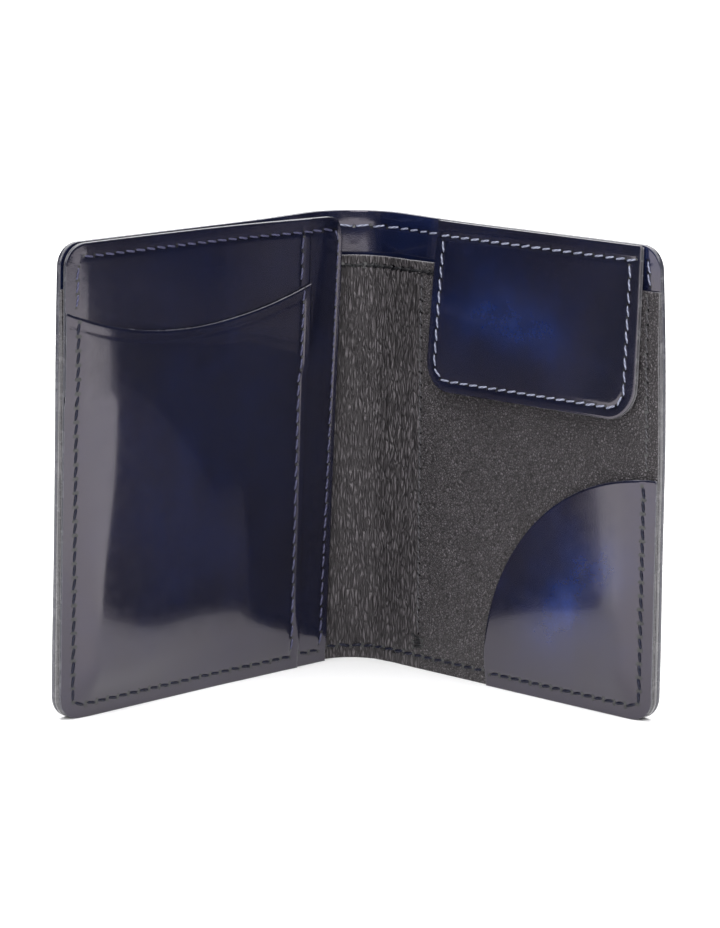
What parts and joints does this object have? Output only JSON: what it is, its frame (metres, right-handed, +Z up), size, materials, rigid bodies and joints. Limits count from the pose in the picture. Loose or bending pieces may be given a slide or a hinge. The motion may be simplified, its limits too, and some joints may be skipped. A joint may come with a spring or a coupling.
{
  "type": "bifold wallet",
  "caption": "Small upright leather wallet that opens like a book, with a card pocket on a leaf, a quarter-round corner pocket, a lifting flap and a full-length note compartment.",
  "frame": {"origin": "under the middle of the bounding box, on the surface the wallet stands on", "axes": "+Z up along the spine, +X from the left panel to the right panel, +Y towards the back of the spine"},
  "size_m": [0.1288, 0.0635, 0.102],
  "materials": {
    "gloss_leather": "polished high-gloss navy with blue burnish",
    "grain_leather": "matt charcoal goat grain",
    "cloth": "plain woven lining cloth",
    "navy_thread": "waxed thread",
    "pale_thread": "waxed thread",
    "black_thread": "waxed thread"
  },
  "bodies": {
    "spine": {"cover_spine": "gloss_leather", "top_facing_spine": "gloss_leather", "bill_cloth_spine": "cloth", "inner_lining_spine": "grain_leather", "seam_threads_spine": "navy_thread", "top_threads_spine": "pale_thread", "lining_threads_spine": "black_thread"},
    "left_panel": {"cover_left": "gloss_leather", "top_facing_left": "gloss_leather", "bill_cloth_left": "cloth", "inner_lining_left": "grain_leather", "seam_threads_left": "navy_thread", "top_threads_left": "pale_thread", "lining_threads_left": "black_thread", "leaf_backing": "grain_leather", "leaf_front": "gloss_leather", "card_facing": "gloss_leather", "card_pocket": "gloss_leather", "leaf_threads": "pale_thread", "card_threads": "navy_thread"},
    "right_panel": {"cover_right": "gloss_leather", "top_facing_right": "gloss_leather", "bill_cloth_right": "cloth", "inner_lining_right": "grain_leather", "seam_threads_right": "navy_thread", "top_threads_right": "pale_thread", "lining_threads_right": "black_thread", "corner_pocket": "gloss_leather", "flap_root": "gloss_leather", "flap_root_threads": "pale_thread"},
    "flap": {"flap_front": "gloss_leather", "flap_backing": "grain_leather", "flap_threads": "pale_thread"}
  },
  "joints": [
    {"name": "left_fold", "type": "hinge", "parent": "spine", "child": "left_panel", "pos_m": [-0.00545, 0.02919, 0], "axis": [0, 0, -1], "range_deg": [-45, 45]},
    {"name": "right_fold", "type": "hinge", "parent": "spine", "child": "right_panel", "pos_m": [0.00545, 0.02919, 0], "axis": [0, 0, 1], "range_deg": [-45, 45]},
    {"name": "flap_lift", "type": "hinge", "parent": "right_panel", "child": "flap", "pos_m": [0.00757, 0.02506, 0.09825], "axis": [-0.7071, 0.7071, 0], "range_deg": [0, 160]}
  ],
  "couplings": [
    {"joint": "left_fold", "follows": "right_fold", "ratio": 1}
  ]
}
